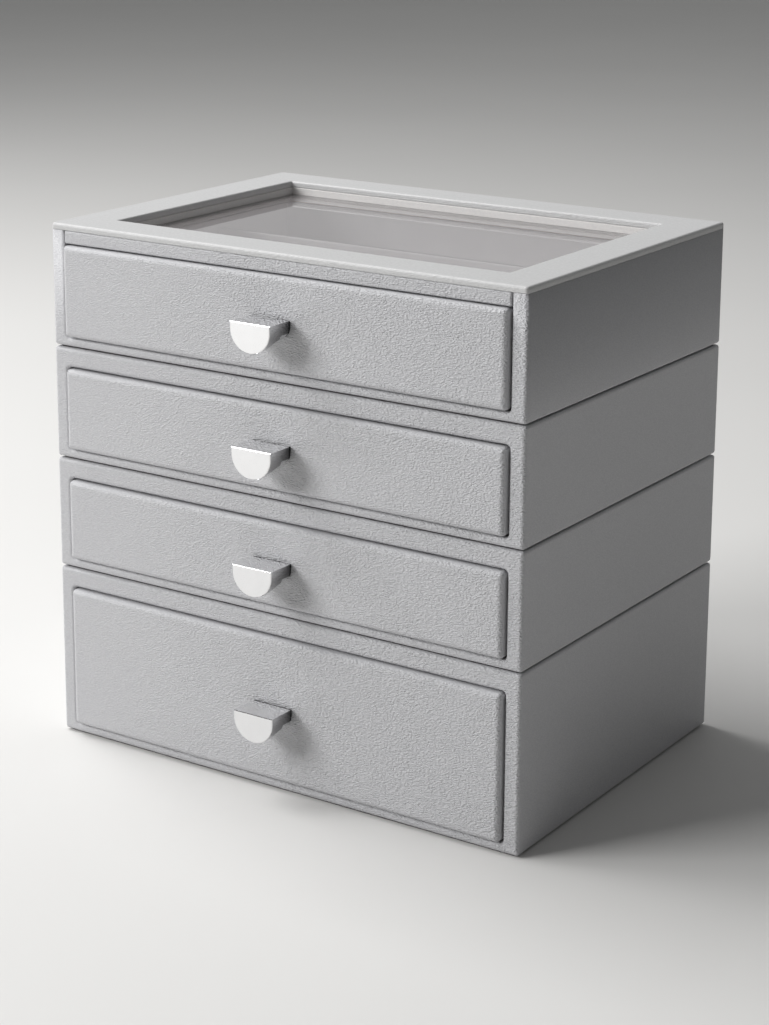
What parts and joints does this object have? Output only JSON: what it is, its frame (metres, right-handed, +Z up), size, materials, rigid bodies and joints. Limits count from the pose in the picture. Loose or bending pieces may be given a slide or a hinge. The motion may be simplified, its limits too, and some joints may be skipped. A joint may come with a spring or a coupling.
{
  "type": "stacking jewellery box set",
  "caption": "Stack of leather-covered jewellery box units with pull-out drawers, half-round metal knobs and a glass window in the top.",
  "frame": {"origin": "on the surface the stack stands on, at the middle of the outline in X and Y, knobs included", "axes": "+Z up, -Y out of the drawer fronts towards the user, +X to the user's right when facing the drawers"},
  "size_m": [0.25, 0.1956, 0.2455],
  "materials": {
    "leather_cover": "pale cool grey pebbled leather, satin",
    "leather_rail": "pale cool grey pebbled leather, satin",
    "leather_window_frame": "pale cool grey leather, finer grain, satin",
    "leather_pane_frame": "pale grey smooth leather",
    "leather_drawer_front": "pale cool grey pebbled leather, satin",
    "board": "bare fibreboard, hidden under the cover",
    "tray_wood": "thin board, painted grey",
    "suede_pad": "grey suede cloth",
    "velvet_lining": "warm grey velvet",
    "velvet_divider": "board covered in warm grey velvet",
    "pane": "clear flat glass",
    "wood_bead": "painted pale grey",
    "knob_chrome": "polished",
    "screw_steel": "plain steel"
  },
  "bodies": {
    "base_case": {"base_cover": "leather_cover", "base_front_frame": "board", "base_left_wall": "board", "base_right_wall": "board", "base_back_panel": "board", "base_bottom_panel": "board", "base_base_pad": "suede_pad", "base_top_panel": "board"},
    "base_drawer": {"base_drawer_front": "leather_drawer_front", "base_tray": "tray_wood", "base_lining": "velvet_lining", "base_divider": "velvet_divider", "base_knob": "knob_chrome", "base_knob_screw": "screw_steel"},
    "lower_case": {"lower_cover": "leather_cover", "lower_front_frame": "board", "lower_left_wall": "board", "lower_right_wall": "board", "lower_back_panel": "board", "lower_bottom_panel": "board", "lower_base_pad": "suede_pad", "lower_top_panel": "board"},
    "lower_drawer": {"lower_drawer_front": "leather_drawer_front", "lower_tray": "tray_wood", "lower_lining": "velvet_lining", "lower_divider": "velvet_divider", "lower_knob": "knob_chrome", "lower_knob_screw": "screw_steel"},
    "upper_case": {"upper_cover": "leather_cover", "upper_front_frame": "board", "upper_left_wall": "board", "upper_right_wall": "board", "upper_back_panel": "board", "upper_bottom_panel": "board", "upper_base_pad": "suede_pad", "upper_top_panel": "board"},
    "upper_drawer": {"upper_drawer_front": "leather_drawer_front", "upper_tray": "tray_wood", "upper_lining": "velvet_lining", "upper_divider": "velvet_divider", "upper_knob": "knob_chrome", "upper_knob_screw": "screw_steel"},
    "top_case": {"top_cover": "leather_cover", "top_front_frame": "board", "top_left_wall": "board", "top_right_wall": "board", "top_back_panel": "board", "top_bottom_panel": "board", "top_base_pad": "suede_pad", "top_front_rail": "leather_rail", "top_window_frame": "leather_window_frame", "top_pane_frame": "leather_pane_frame", "top_glass_pane": "pane", "top_pane_bead": "wood_bead"},
    "top_drawer": {"top_drawer_front": "leather_drawer_front", "top_tray": "tray_wood", "top_lining": "velvet_lining", "top_divider": "velvet_divider", "top_knob": "knob_chrome", "top_knob_screw": "screw_steel"}
  },
  "joints": [
    {"name": "base_drawer_slide", "type": "slide", "parent": "base_case", "child": "base_drawer", "axis": [0, -1, 0], "range_m": [0, 0.12]},
    {"name": "lower_drawer_slide", "type": "slide", "parent": "lower_case", "child": "lower_drawer", "axis": [0, -1, 0], "range_m": [0, 0.12]},
    {"name": "upper_drawer_slide", "type": "slide", "parent": "upper_case", "child": "upper_drawer", "axis": [0, -1, 0], "range_m": [0, 0.12]},
    {"name": "top_drawer_slide", "type": "slide", "parent": "top_case", "child": "top_drawer", "axis": [0, -1, 0], "range_m": [0, 0.12]},
    {"name": "lower_unit_lift", "type": "slide", "parent": "base_case", "child": "lower_case", "axis": [0, 0, 1], "range_m": [0, 0.06]},
    {"name": "upper_unit_lift", "type": "slide", "parent": "lower_case", "child": "upper_case", "axis": [0, 0, 1], "range_m": [0, 0.06]},
    {"name": "top_unit_lift", "type": "slide", "parent": "upper_case", "child": "top_case", "axis": [0, 0, 1], "range_m": [0, 0.06]}
  ]
}
